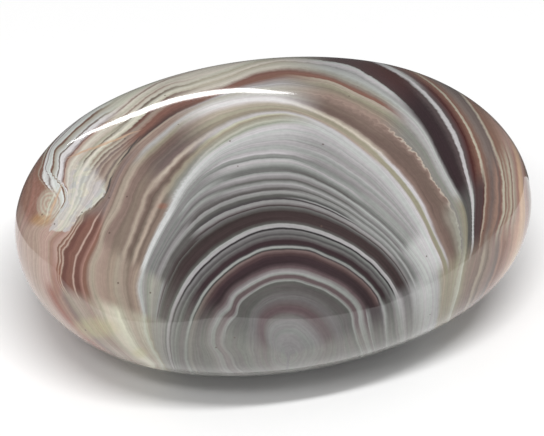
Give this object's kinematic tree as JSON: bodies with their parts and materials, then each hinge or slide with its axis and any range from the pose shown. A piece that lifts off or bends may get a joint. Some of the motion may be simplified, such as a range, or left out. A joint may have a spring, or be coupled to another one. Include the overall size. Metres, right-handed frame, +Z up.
{
  "type": "polished agate pebble",
  "caption": "Tumbled and polished banded agate pebble, an egg-shaped stone that rests on its worn underside.",
  "frame": {"origin": "middle of the pebble's length and width, on the plane that it rests on", "axes": "+X along the pebble's length, +Y across its width, +Z up out of the surface that it rests on"},
  "size_m": [0.0506, 0.038, 0.0228],
  "materials": {
    "agate": "polished grey, white and maroon banded agate"
  },
  "bodies": {
    "root": {"agate_pebble": "agate"}
  },
  "joints": []
}
